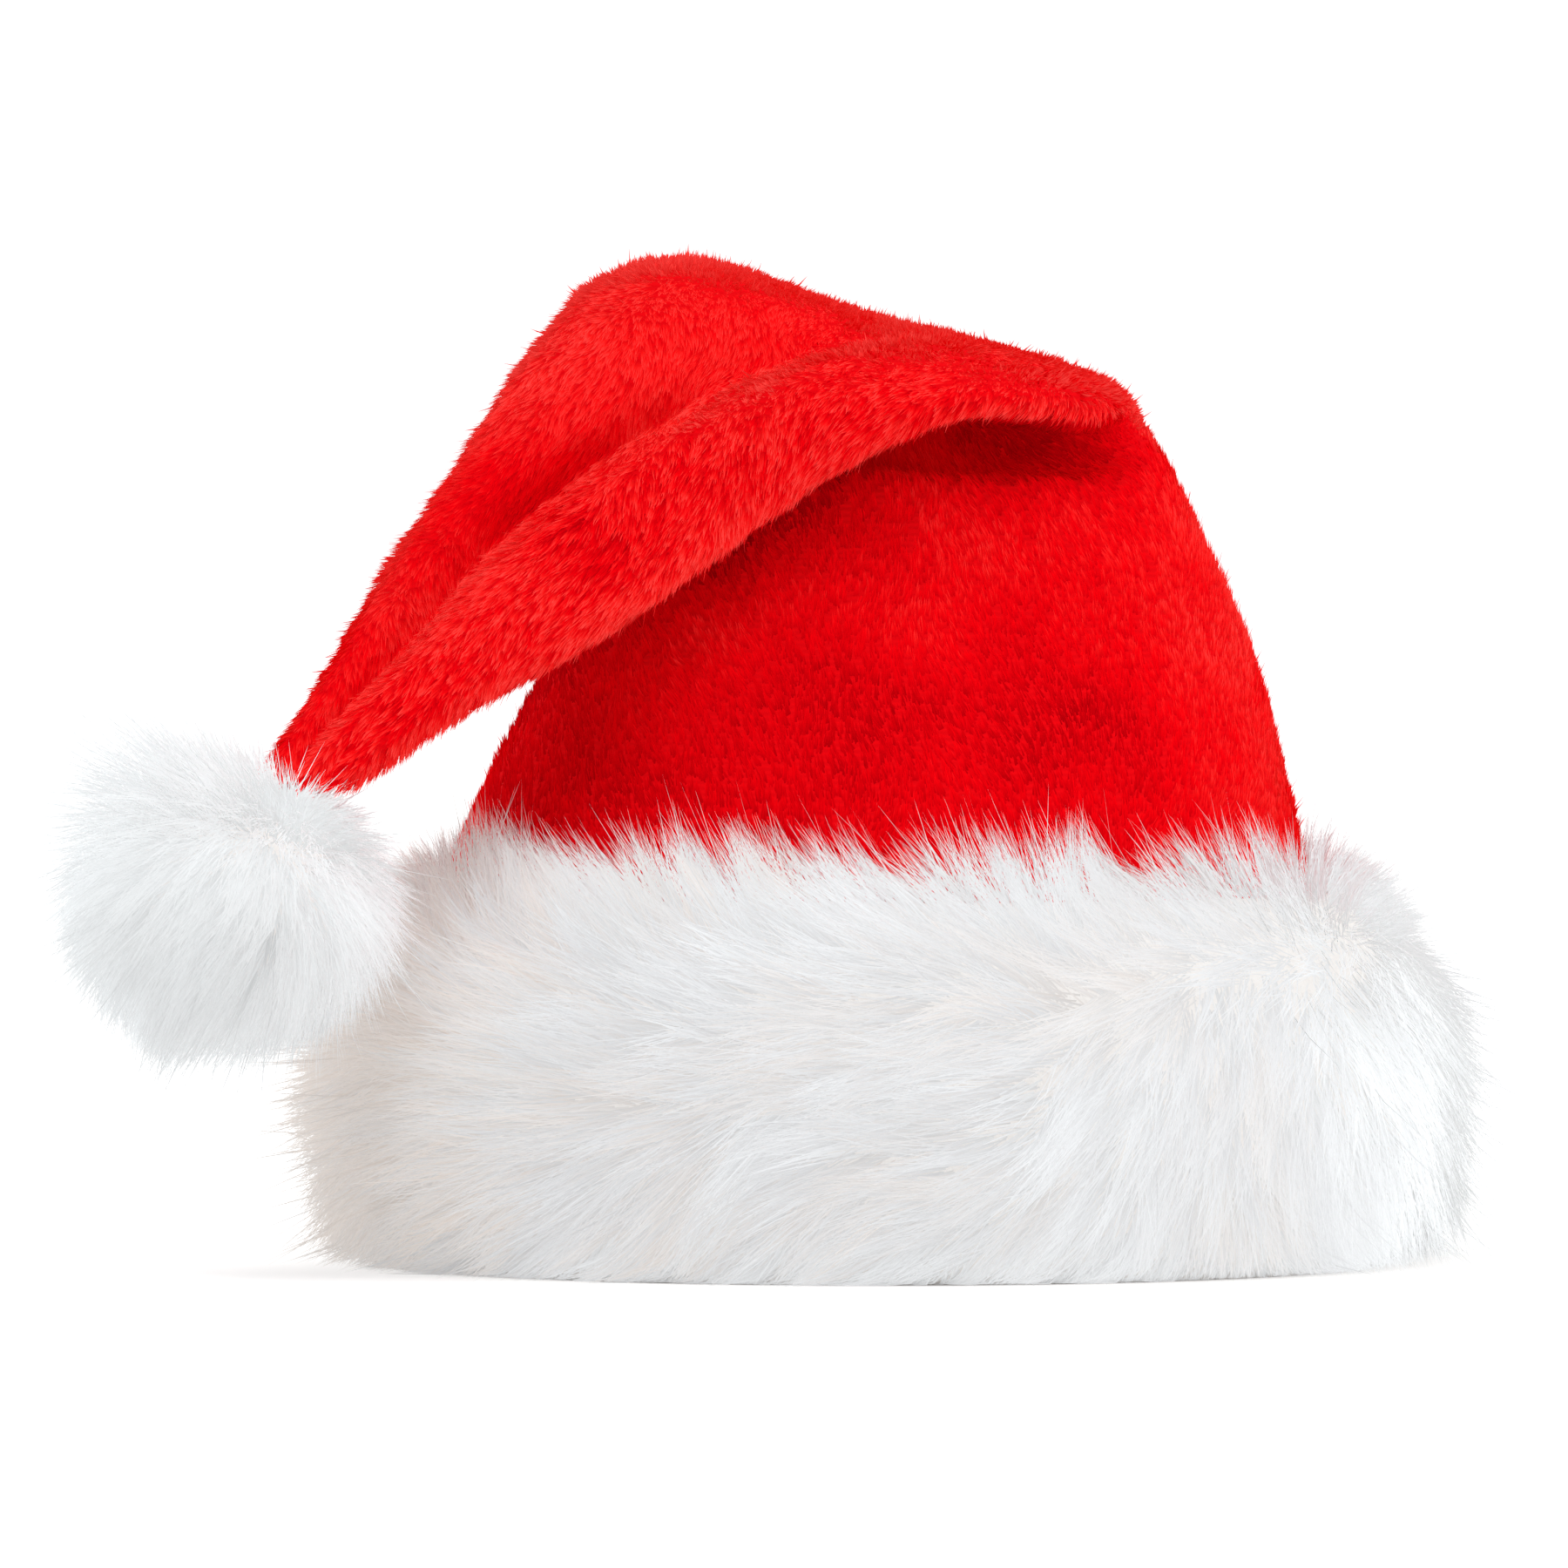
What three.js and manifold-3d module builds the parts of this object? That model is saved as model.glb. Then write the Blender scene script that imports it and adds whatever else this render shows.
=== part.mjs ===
// Plush party hat standing by itself: a soft red cone on a deep white fur brim. The cone's upper
// half is folded over to the front and hangs down to the left, to the fur pompom on its end.
// Millimetres, +Z up, +X to the right of someone who looks at the front, the front towards -Y.
// The origin is the middle of the head opening, at the height of the brim's underside.

import * as THREE from "three";
import { mergeVertices } from "three/addons/utils/BufferGeometryUtils.js";
import Module from "manifold-3d";

const wasm = await Module();
wasm.setup();

// Head opening, an ellipse about 585 mm round
const HEAD_HALF_WIDTH = 101.5;
const HEAD_HALF_DEPTH = 84.5;

// Clear space between two pieces that are sewn together
const SEAM_GAP = 0.3;

// Plush cloth with its pile, the number of points round the cone and of sections for each table row
const PLUSH_WALL = 3;
const CONE_POINTS = 36;
const CONE_STEPS = 2;

// The cone from its foot inside the brim to its end inside the pompom, one row for each section.
// right and left are the section's two side edges. tilt turns the cone's back wall from the back (0)
// over the top (90) to the front (180), and back and front are how far the two walls stand from the
// line between the edges. crease is the depth of the long dent in the folded-over tail as a share of
// back, creaseAt its place between the left edge (-1) and the right edge (1), and the dent is steeper
// on its right, where the cloth is rolled over. lobe lifts the corner of the fold on the left, and
// gather is the depth of the pleats where the cone is drawn together.
const CONE_COLUMNS = [
  "rightX", "rightY", "rightZ", "leftX", "leftY", "leftZ",
  "tilt", "back", "front", "crease", "creaseAt", "lobe", "gather",
];
const CONE_SECTIONS = [
  [101.0, 0, 66, -101.0, 0, 66, 0, 84, 84, 0, 0.06, 0, 0],
  [98.0, 0, 91, -100.0, 0, 91, 0, 80, 80, 0, 0.06, 0, 0],
  [92.5, 0, 115, -90.0, 0, 115, 0, 67, 69, 0, 0.06, 0, 0],
  [84.5, 0, 142, -77.5, 0, 142, 0, 54, 56, 0, 0.06, 0, 0],
  [75.5, 0, 165, -70.5, 2, 170, 3, 42, 45, 0, 0.06, 0, 0],
  [67.5, -2, 182, -68.0, 4, 194, 12, 33, 36, 0, 0.06, 1, 0],
  [60.0, -7, 191, -68.0, 2, 210, 50, 20, 24, 0.04, 0.06, 6, 0],
  [56.0, -17, 195.5, -69.0, -8, 218.5, 90, 11.5, 12, 0.1, 0.06, 8.5, 0],
  [50.0, -28, 195, -72.0, -18, 219, 130, 13, 11, 0.5, 0.02, 7, 0],
  [38.0, -37, 196, -77.5, -27, 213, 160, 16, 11, 0.6, -0.08, 4, 0],
  [18.0, -44, 195, -85.5, -35, 203, 175, 18, 12, 0.65, -0.1, 0, 0],
  [-9.0, -48, 183, -95.5, -41, 188, 180, 18, 12, 0.65, -0.24, 0, 0],
  [-38.0, -53, 162, -108.0, -47, 169, 180, 17, 12, 0.6, -0.38, 0, 0],
  [-68.5, -59, 142, -121.0, -55, 148, 180, 15, 12, 0.5, -0.42, 0, 0],
  [-97.5, -65, 126, -133.0, -63, 129, 180, 13, 11, 0.4, -0.4, 0, 0.04],
  [-119.0, -69, 112, -143.0, -69, 112, 180, 11, 11, 0.2, -0.3, 0, 0.12],
];
const CREASE_WIDTH_LEFT = 0.3;
const CREASE_WIDTH_RIGHT = 0.16;
const LOBE_AT = -0.76;
const LOBE_WIDTH = 0.48;
const PLEATS = 7;

// Folded cloth has fuller edges than an ellipse: the power of its section's thickness at a full fold
const FOLD_FULLNESS = 0.75;

// The fur band's section: how far its underfur stands out from the head opening at each height
const BRIM_COLUMNS = ["out", "z"];
const BRIM_SECTION = [
  [0, 0],
  [15, 0],
  [23, 8],
  [28, 24],
  [30, 44],
  [27, 62],
  [20, 78],
  [10, 87],
  [3, 90],
  [0, 87],
];
const BRIM_POINTS = 56;

// Rows of fur locks round the band. out and z are a lock's root, facing is the angle of the fur's skin
// there above level, stand how far a lock's tip stands off the skin, sweep how far it is combed round
// the band to the left of the front, and drop how far it hangs.
const BRIM_LOCK_COLUMNS = ["out", "z", "facing", "count", "halfWidth", "stand", "sweep", "drop"];
const BRIM_LOCKS = [
  [7, 87, 70, 32, 5, 12, 17, -2],
  [15, 82, 45, 24, 9, 5, 28, -4],
  [24, 68, 24, 22, 11, 5, 32, 1],
  [28, 48, 4, 22, 11, 5, 32, 6],
  [26, 25, -14, 22, 11, 5, 28, 10],
];

// Pompom: its middle, the half size of its underfur, the locks that stand off it, and how many of
// the cone's last sections it is hollowed for
const POMPOM_CENTER = new THREE.Vector3(-148, -77, 83);
const POMPOM_HALF_SIZE = new THREE.Vector3(36, 34, 30);
const POMPOM_DETAIL = 3;
const POMPOM_LOCKS = 56;
const POMPOM_TAIL_SECTIONS = 6;
const POMPOM_LOCK = { halfWidth: 9, stand: 6, drop: 10 };

// Where the pompom leans on the brim its locks are pressed to this share of their stand
const POMPOM_LEAN = new THREE.Vector3(0.85, 0.5, -0.15).normalize();
const PRESSED_WITHIN = 0.6;
const PRESSED_STAND = 0.3;

// A lock is a flat strip with a ridge. Its root is sunk in the underfur, it bends over within the
// first part of its sweep and it tapers to its tip.
const LOCK_ROOT_DEPTH = 4;
const LOCK_ELBOW = 0.3;
const LOCK_RIDGE = 0.4;
const LOCK_TAPER = [
  { along: 0, width: 0.6 },
  { along: 0.5, width: 1 },
];

const UP = new THREE.Vector3(0, 0, 1);
const BACK = new THREE.Vector3(0, 1, 0);
const GOLDEN_ANGLE = Math.PI * (3 - Math.sqrt(5));

// A table's rows as objects with its columns' names
function named(columns, rows) {
  return rows.map((row) => Object.fromEntries(columns.map((column, i) => [column, row[i]])));
}

// Rows eased by a cubic through the table's rows, with the given number of steps to each row
function eased(columns, rows, steps) {
  const places = rows.map((row, i) => i);
  const cubic = new THREE.CubicInterpolant(places, rows.flat(), columns.length);
  const count = (rows.length - 1) * steps + 1;
  return named(columns, Array.from({ length: count }, (_, i) => [...cubic.evaluate(i / steps)]));
}

function middle(points) {
  const sum = points.reduce((total, point) => total.add(point), new THREE.Vector3());
  return sum.divideScalar(points.length);
}

// Closed skin over rings of points that all turn the same way. The last ring is joined to the first
// one, or both end rings are closed by a fan round their middle, or round a tip at the last ring.
function skin(rings, { loop = false, endTip } = {}) {
  const round = rings[0].length;
  const points = rings.flat();
  const faces = [];
  const lastRing = loop ? rings.length : rings.length - 1;
  for (let i = 0; i < lastRing; i++) {
    const low = i * round;
    const high = ((i + 1) % rings.length) * round;
    for (let j = 0; j < round; j++) {
      const k = (j + 1) % round;
      faces.push(low + j, low + k, high + k, low + j, high + k, high + j);
    }
  }
  if (!loop) {
    const start = points.push(middle(rings[0])) - 1;
    const end = points.push(endTip ?? middle(rings.at(-1))) - 1;
    const top = (rings.length - 1) * round;
    for (let j = 0; j < round; j++) {
      const k = (j + 1) % round;
      faces.push(start, k, j, end, top + j, top + k);
    }
  }
  const geometry = new THREE.BufferGeometry().setFromPoints(points);
  geometry.setIndex(faces);
  return geometry;
}

// Solid of a closed geometry, for joining and cutting
function solid(geometry) {
  const bare = geometry.clone();
  bare.deleteAttribute("normal");
  bare.deleteAttribute("uv");
  const merged = mergeVertices(bare);
  return new wasm.Manifold(new wasm.Mesh({
    numProp: 3,
    vertProperties: new Float32Array(merged.attributes.position.array),
    triVerts: new Uint32Array(merged.index.array),
  }));
}

function geometryOf(body) {
  const mesh = body.getMesh();
  const geometry = new THREE.BufferGeometry();
  geometry.setAttribute("position", new THREE.Float32BufferAttribute(mesh.vertProperties, mesh.numProp));
  geometry.setIndex(Array.from(mesh.triVerts));
  geometry.computeVertexNormals();
  return geometry;
}

function piece(name, geometry, look) {
  const mesh = new THREE.Mesh(geometry, new THREE.MeshStandardMaterial(look));
  mesh.name = name;
  return mesh;
}

// One section of the cone as a ring of points, from the right edge over the back wall to the left
// edge and along the front wall to the start
function coneRing(section, grow = 0) {
  const right = new THREE.Vector3(section.rightX, section.rightY, section.rightZ);
  const left = new THREE.Vector3(section.leftX, section.leftY, section.leftZ);
  const center = right.clone().add(left).multiplyScalar(0.5);
  const across = right.clone().sub(left);
  const halfWidth = across.length() / 2 + grow;
  across.normalize();
  const away = BACK.clone().addScaledVector(across, -BACK.dot(across)).normalize();
  const over = new THREE.Vector3().crossVectors(across, away);
  const tilt = THREE.MathUtils.degToRad(section.tilt);
  const backward = away.multiplyScalar(Math.cos(tilt)).addScaledVector(over, Math.sin(tilt));
  const folded = Math.min(section.tilt / 90, 1);
  const fullness = THREE.MathUtils.lerp(1, FOLD_FULLNESS, folded);
  return Array.from({ length: CONE_POINTS }, (_, j) => {
    const angle = (2 * Math.PI * j) / CONE_POINTS;
    const side = Math.cos(angle);
    const thickness = Math.abs(Math.sin(angle)) ** fullness;
    const creaseWidth = side < section.creaseAt ? CREASE_WIDTH_LEFT : CREASE_WIDTH_RIGHT;
    const dent = section.crease * Math.exp(-(((side - section.creaseAt) / creaseWidth) ** 2));
    const lift = section.lobe * Math.exp(-(((side - LOBE_AT) / LOBE_WIDTH) ** 2));
    const reach = angle < Math.PI ? section.back * (1 - dent) + lift + grow : -section.front - grow;
    const pleat = 1 + section.gather * Math.cos(PLEATS * angle);
    return center.clone()
      .addScaledVector(across, halfWidth * side * pleat)
      .addScaledVector(backward, reach * thickness * pleat);
  });
}

// The same rings moved inwards, square to the cloth, by the given thickness
function insideOf(rings, thickness) {
  return rings.map((ring, i) => ring.map((point, j) => {
    const along = rings[Math.min(i + 1, rings.length - 1)][j].clone().sub(rings[Math.max(i - 1, 0)][j]);
    const round = ring[(j + 1) % ring.length].clone().sub(ring[(j + ring.length - 1) % ring.length]);
    const outward = round.cross(along).normalize();
    return point.clone().addScaledVector(outward, -thickness);
  }));
}

// Cone of plush cloth, open at its foot and gathered shut at its end
function makeCrown(sections) {
  const outside = sections.map((section) => coneRing(section));
  const inside = insideOf(outside, PLUSH_WALL).slice(0, -CONE_STEPS);
  inside[0].forEach((point) => point.setZ(sections[0].rightZ));
  return skin([...inside.toReversed(), ...outside]);
}

// Fur lock from its root: it leaves the skin square to it and bends over to its sweep
function makeLock(root, outward, halfWidth, stand, sweep) {
  const start = root.clone().addScaledVector(outward, -LOCK_ROOT_DEPTH);
  const elbow = root.clone().addScaledVector(outward, stand).addScaledVector(sweep, LOCK_ELBOW);
  const tip = root.clone().addScaledVector(outward, stand).add(sweep);
  const spine = new THREE.QuadraticBezierCurve3(start, elbow, tip);
  const rings = LOCK_TAPER.map(({ along, width }) => {
    const center = spine.getPoint(along);
    const forward = spine.getTangent(along);
    const flat = new THREE.Vector3().crossVectors(forward, outward).normalize();
    const ridge = new THREE.Vector3().crossVectors(flat, forward);
    return [
      center.clone().addScaledVector(flat, halfWidth * width),
      center.clone().addScaledVector(flat, -halfWidth * width),
      center.clone().addScaledVector(ridge, halfWidth * width * LOCK_RIDGE),
    ];
  });
  return skin(rings, { endTip: tip });
}

// Point of the fur band at an angle round the head, and the level directions outward and leftward
function brimPlace(angle, out, z) {
  const outward = new THREE.Vector3(
    Math.cos(angle) / HEAD_HALF_WIDTH, Math.sin(angle) / HEAD_HALF_DEPTH, 0,
  ).normalize();
  const point = new THREE.Vector3(
    HEAD_HALF_WIDTH * Math.cos(angle), HEAD_HALF_DEPTH * Math.sin(angle), z,
  ).addScaledVector(outward, out);
  const round = new THREE.Vector3(outward.y, -outward.x, 0);
  return { point, outward, round };
}

// Fur band: an underfur ring with rows of combed locks, flat where it stands
function makeBrim() {
  const section = named(BRIM_COLUMNS, BRIM_SECTION);
  const rings = Array.from({ length: BRIM_POINTS }, (_, i) => {
    const angle = (-2 * Math.PI * i) / BRIM_POINTS;
    return section.map(({ out, z }) => brimPlace(angle, out, z).point);
  });
  let body = solid(skin(rings, { loop: true }));
  named(BRIM_LOCK_COLUMNS, BRIM_LOCKS).forEach((row, level) => {
    const facing = THREE.MathUtils.degToRad(row.facing);
    for (let i = 0; i < row.count; i++) {
      const angle = (2 * Math.PI * (i + level / 2)) / row.count;
      const { point, outward, round } = brimPlace(angle, row.out, row.z);
      const off = outward.clone().multiplyScalar(Math.cos(facing)).addScaledVector(UP, Math.sin(facing));
      const sweep = round.clone().multiplyScalar(row.sweep).addScaledVector(UP, -row.drop);
      body = body.add(solid(makeLock(point, off, row.halfWidth, row.stand, sweep)));
    }
  });
  return geometryOf(body);
}

// Fur ball with hanging locks, hollowed where the cone's end is sewn in
function makePompom(tailSections) {
  const core = new THREE.IcosahedronGeometry(1, POMPOM_DETAIL);
  core.scale(...POMPOM_HALF_SIZE.toArray());
  core.translate(...POMPOM_CENTER.toArray());
  let body = solid(core);
  for (let i = 0; i < POMPOM_LOCKS; i++) {
    const height = 1 - (2 * i + 1) / POMPOM_LOCKS;
    const level = Math.sqrt(1 - height * height);
    const angle = i * GOLDEN_ANGLE;
    const outward = new THREE.Vector3(level * Math.cos(angle), level * Math.sin(angle), height);
    const root = outward.clone().multiply(POMPOM_HALF_SIZE).add(POMPOM_CENTER);
    const pressed = outward.dot(POMPOM_LEAN) > PRESSED_WITHIN ? PRESSED_STAND : 1;
    const hang = UP.clone().multiplyScalar(-POMPOM_LOCK.drop);
    body = body.add(solid(makeLock(root, outward, POMPOM_LOCK.halfWidth, POMPOM_LOCK.stand * pressed, hang)));
  }
  const socket = tailSections.map((section) => coneRing(section, SEAM_GAP));
  const tailEnd = middle(socket.at(-1)).sub(middle(socket.at(-2))).setLength(SEAM_GAP);
  socket.at(-1).forEach((point) => point.add(tailEnd));
  return geometryOf(body.subtract(solid(skin(socket))));
}

const coneSections = eased(CONE_COLUMNS, CONE_SECTIONS, CONE_STEPS);
const tailSections = coneSections.slice(-POMPOM_TAIL_SECTIONS);
const hat = new THREE.Group();
hat.add(piece("crown", makeCrown(coneSections), { color: 0xe0101a, roughness: 0.9, metalness: 0 }));
hat.add(piece("brim", makeBrim(), { color: 0xf2f2f0, roughness: 0.95, metalness: 0 }));
hat.add(piece("pompom", makePompom(tailSections), { color: 0xf4f4f2, roughness: 0.95, metalness: 0 }));

export default hat;
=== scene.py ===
import math

import bpy
import numpy as np
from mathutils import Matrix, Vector


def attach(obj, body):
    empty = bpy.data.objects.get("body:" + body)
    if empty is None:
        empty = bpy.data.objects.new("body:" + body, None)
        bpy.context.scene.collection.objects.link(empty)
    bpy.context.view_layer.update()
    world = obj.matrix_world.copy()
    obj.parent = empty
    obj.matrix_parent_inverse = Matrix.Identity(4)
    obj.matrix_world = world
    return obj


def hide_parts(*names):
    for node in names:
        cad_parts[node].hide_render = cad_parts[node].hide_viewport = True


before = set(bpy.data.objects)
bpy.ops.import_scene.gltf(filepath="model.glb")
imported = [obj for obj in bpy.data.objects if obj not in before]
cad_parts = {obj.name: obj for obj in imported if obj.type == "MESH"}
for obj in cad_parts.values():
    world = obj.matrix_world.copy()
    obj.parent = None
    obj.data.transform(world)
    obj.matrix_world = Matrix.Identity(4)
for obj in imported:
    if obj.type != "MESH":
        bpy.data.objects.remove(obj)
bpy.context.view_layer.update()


# Crown cloth: the red cone, sewn from polyester plush that is knitted at the back. Its foot is stitched
# inside the fur band, and its upper half is folded over to the front and hangs down to the left.
# The sections are the solid's own, in millimetres, and the cloth lies inside them by the pile's height.
MM = 0.001
CONE_SECTIONS = np.array([
    # right edge x y z, left edge x y z, tilt, back, front, crease, crease at, lobe, gather
    [101.0, 0, 66, -101.0, 0, 66, 0, 84, 84, 0, 0.06, 0, 0],
    [98.0, 0, 91, -100.0, 0, 91, 0, 80, 80, 0, 0.06, 0, 0],
    [92.5, 0, 115, -90.0, 0, 115, 0, 67, 69, 0, 0.06, 0, 0],
    [84.5, 0, 142, -77.5, 0, 142, 0, 54, 56, 0, 0.06, 0, 0],
    [75.5, 0, 165, -70.5, 2, 170, 3, 42, 45, 0, 0.06, 0, 0],
    [67.5, -2, 182, -68.0, 4, 194, 12, 33, 36, 0, 0.06, 1, 0],
    [60.0, -7, 191, -68.0, 2, 210, 50, 20, 24, 0.04, 0.06, 6, 0],
    [56.0, -17, 195.5, -69.0, -8, 218.5, 90, 11.5, 12, 0.1, 0.06, 8.5, 0],
    [50.0, -28, 195, -72.0, -18, 219, 130, 13, 11, 0.5, 0.02, 7, 0],
    [38.0, -37, 196, -77.5, -27, 213, 160, 16, 11, 0.6, -0.08, 4, 0],
    [18.0, -44, 195, -85.5, -35, 203, 175, 18, 12, 0.65, -0.1, 0, 0],
    [-9.0, -48, 183, -95.5, -41, 188, 180, 18, 12, 0.65, -0.24, 0, 0],
    [-38.0, -53, 162, -108.0, -47, 169, 180, 17, 12, 0.6, -0.38, 0, 0],
    [-68.5, -59, 142, -121.0, -55, 148, 180, 15, 12, 0.5, -0.42, 0, 0],
    [-97.5, -65, 126, -133.0, -63, 129, 180, 13, 11, 0.4, -0.4, 0, 0.04],
    [-119.0, -69, 112, -143.0, -69, 112, 180, 11, 11, 0.2, -0.3, 0, 0.12],
], float)
TILT_COLUMN = 6
CREASE_AT_COLUMN = 10
CONE_STEPS = 6
CONE_POINTS = 96
CREASE_WIDTHS = (0.3, 0.16)
LOBE_AT = -0.76
LOBE_WIDTH = 0.48
PLEATS = 7
FOLD_FULLNESS = 0.75
PILE_HEIGHT = 1.8
CLOTH_THICKNESS = 1.4
SOFT_DENTS = ((0.7, 55),)
RIPPLE_WAYS = 7
BACKWARD = np.array([0.0, 1.0, 0.0])


def unit(vectors):
    """The same directions with length 1."""
    return vectors / np.linalg.norm(vectors, axis=-1, keepdims=True)


def eased(rows, steps):
    """The table's rows joined by a smooth curve, with this many steps from each row to the next."""
    padded = np.vstack([2 * rows[0] - rows[1], rows, 2 * rows[-1] - rows[-2]])[:, None]
    before, start, end, after = padded[:-3], padded[1:-2], padded[2:-1], padded[3:]
    t = (np.arange(steps) / steps)[None, :, None]
    curve = (
        2 * start
        + (end - before) * t
        + (2 * before - 5 * start + 4 * end - after) * t**2
        + (3 * start - before - 3 * end + after) * t**3
    ) / 2
    return np.vstack([curve.reshape(-1, rows.shape[1]), rows[-1]])


def cone_rings(sections, inset):
    """Rings of points round the cone, each from the right edge over the back wall to the front wall."""
    right, left = sections[:, 0:3], sections[:, 3:6]
    tilt, back, front, crease, crease_at, lobe, gather = sections[:, TILT_COLUMN:].T[:, :, None]
    center = (right + left) / 2
    across = unit(right - left)
    half_width = np.linalg.norm(right - left, axis=1, keepdims=True) / 2 - inset
    away = unit(BACKWARD - across * (across @ BACKWARD)[:, None])
    over = np.cross(across, away)
    turn = np.radians(tilt)
    backward = away * np.cos(turn) + over * np.sin(turn)
    fullness = 1 + (FOLD_FULLNESS - 1) * np.minimum(tilt / 90, 1)
    angle = np.linspace(0, 2 * math.pi, CONE_POINTS, endpoint=False)[None]
    side = np.cos(angle)
    thickness = np.abs(np.sin(angle)) ** fullness
    crease_width = np.where(side < crease_at, *CREASE_WIDTHS)
    dent = crease * np.exp(-(((side - crease_at) / crease_width) ** 2))
    lift = lobe * np.exp(-(((side - LOBE_AT) / LOBE_WIDTH) ** 2))
    reach = np.where(angle < math.pi, back * (1 - dent) + lift - inset, inset - front)
    pleat = 1 + gather * np.cos(PLEATS * angle)
    sideways = across[:, None] * (half_width * side * pleat)[..., None]
    outward = backward[:, None] * (reach * thickness * pleat)[..., None]
    return center[:, None] + sideways + outward


def ring_normals(rings):
    """Outward directions at the points of rings that turn anticlockwise, seen from the last ring."""
    round_them = np.roll(rings, -1, 1) - np.roll(rings, 1, 1)
    return unit(np.cross(round_them, np.gradient(rings, axis=0)))


def ripples(points, waves, seed):
    """Smooth waves through space, the sum of those of each size and length."""
    total = 0
    for i, (size, length) in enumerate(waves):
        draw = np.random.default_rng(seed + i)
        ways = unit(draw.normal(size=(RIPPLE_WAYS, 3))) * 2 * math.pi / length
        phases = draw.uniform(0, 2 * math.pi, RIPPLE_WAYS)
        total = total + size * (np.sin(points @ ways.T + phases).sum(-1) / math.sqrt(RIPPLE_WAYS))
    return total


def ring_faces(ring_count, ring_points):
    """Four-sided faces between rings of points."""
    low = np.arange(ring_count - 1)[:, None] * ring_points
    here = np.arange(ring_points)[None]
    following = (here + 1) % ring_points
    corners = [low + here, low + following, low + ring_points + following, low + ring_points + here]
    return np.stack(corners, -1).reshape(-1, 4)


def fan_faces(ring_start, ring_points, middle, flip):
    """Three-sided faces from a ring to its middle point."""
    here = ring_start + np.arange(ring_points)
    following = ring_start + (np.arange(ring_points) + 1) % ring_points
    fan = np.stack([here, following, np.full(ring_points, middle)], -1)
    return fan[:, ::-1] if flip else fan


def mesh_piece(name, points, face_groups, material):
    """A smooth mesh from points in millimetres and arrays of faces."""
    mesh = bpy.data.meshes.new(name)
    mesh.vertices.add(len(points))
    mesh.vertices.foreach_set("co", (points * MM).astype(np.float32).ravel())
    corners = np.concatenate([group.ravel() for group in face_groups]).astype(np.int32)
    sizes = np.concatenate([np.full(len(group), group.shape[1]) for group in face_groups])
    mesh.loops.add(len(corners))
    mesh.loops.foreach_set("vertex_index", corners)
    mesh.polygons.add(len(sizes))
    mesh.polygons.foreach_set("loop_start", (np.cumsum(sizes) - sizes).astype(np.int32))
    mesh.update(calc_edges=True)
    mesh.shade_smooth()
    mesh.materials.append(material)
    piece = bpy.data.objects.new(name, mesh)
    bpy.context.scene.collection.objects.link(piece)
    return piece


def linear(hex_colour):
    """A linear colour from an sRGB hex value."""
    shares = [int(hex_colour[i:i + 2], 16) / 255 for i in (1, 3, 5)]
    return (*[s / 12.92 if s <= 0.04045 else ((s + 0.055) / 1.055) ** 2.4 for s in shares], 1.0)


def add_node(tree, kind, inputs=None, **settings):
    """Adds a node with its settings, and gives its inputs values or links to other nodes' outputs."""
    made = tree.nodes.new(kind)
    for key, value in settings.items():
        setattr(made, key, value)
    for socket, value in (inputs or {}).items():
        if isinstance(value, bpy.types.NodeSocket):
            tree.links.new(value, made.inputs[socket])
        else:
            made.inputs[socket].default_value = value
    return made


def new_material(name):
    """An empty node material and its tree."""
    material = bpy.data.materials.new(name)
    material.use_nodes = True
    material.node_tree.nodes.clear()
    return material, material.node_tree


# Polyester knit, dyed red: dull rows of fine loops, so near to the pile's own red that they don't show as
# gaps between the tufts. The wave pattern turns by 20 radians to a unit.
KNIT_DARK = "#C8020A"
KNIT_LIGHT = "#D2030B"
KNIT_ROW = 1.4
KNIT_DEPTH = 0.3
WAVE_RATE = 20
knit, tree = new_material("red_polyester_knit_backing")
position = add_node(tree, "ShaderNodeTexCoord")
rows = add_node(
    tree, "ShaderNodeTexWave",
    {
        "Vector": position.outputs["Object"],
        "Scale": 2 * math.pi / (KNIT_ROW * MM) / WAVE_RATE,
        "Distortion": 2.0,
        "Detail": 2.0,
    },
    bands_direction="Z",
)
tint = add_node(
    tree, "ShaderNodeMix",
    {"Factor": rows.outputs["Fac"], "A": linear(KNIT_DARK), "B": linear(KNIT_LIGHT)},
    data_type="RGBA",
)
loops = add_node(
    tree, "ShaderNodeBump",
    {"Height": rows.outputs["Fac"], "Strength": 0.3, "Distance": KNIT_DEPTH * MM},
)
cloth = add_node(
    tree, "ShaderNodeBsdfPrincipled",
    {
        "Base Color": tint.outputs["Result"],
        "Roughness": 0.9,
        "Specular IOR Level": 0.02,
        "Normal": loops.outputs["Normal"],
    },
)
add_node(tree, "ShaderNodeOutputMaterial", {"Surface": cloth.outputs["BSDF"]})

# The cloth's outer face, and its inner face, which stops one section before the gathered end
sections = eased(CONE_SECTIONS, CONE_STEPS)
outside = cone_rings(sections, PILE_HEIGHT)
outward = ring_normals(outside)
outside = outside + outward * ripples(outside, SOFT_DENTS, seed=3)[..., None]
outward = ring_normals(outside)
inside = (outside - outward * CLOTH_THICKNESS)[:-CONE_STEPS]
inside[0, :, 2] = outside[0, :, 2]
wall = np.concatenate([inside[::-1], outside])
points = wall.reshape(-1, 3)
last_ring = len(points) - CONE_POINTS
points = np.vstack([points, wall[0].mean(0), wall[-1].mean(0)])
crown_cloth = mesh_piece(
    "crown_cloth", points,
    [
        ring_faces(len(wall), CONE_POINTS),
        fan_faces(0, CONE_POINTS, len(points) - 2, flip=True),
        fan_faces(last_ring, CONE_POINTS, len(points) - 1, flip=False),
    ],
    knit,
)
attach(crown_cloth, "root")
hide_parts("crown")


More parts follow.
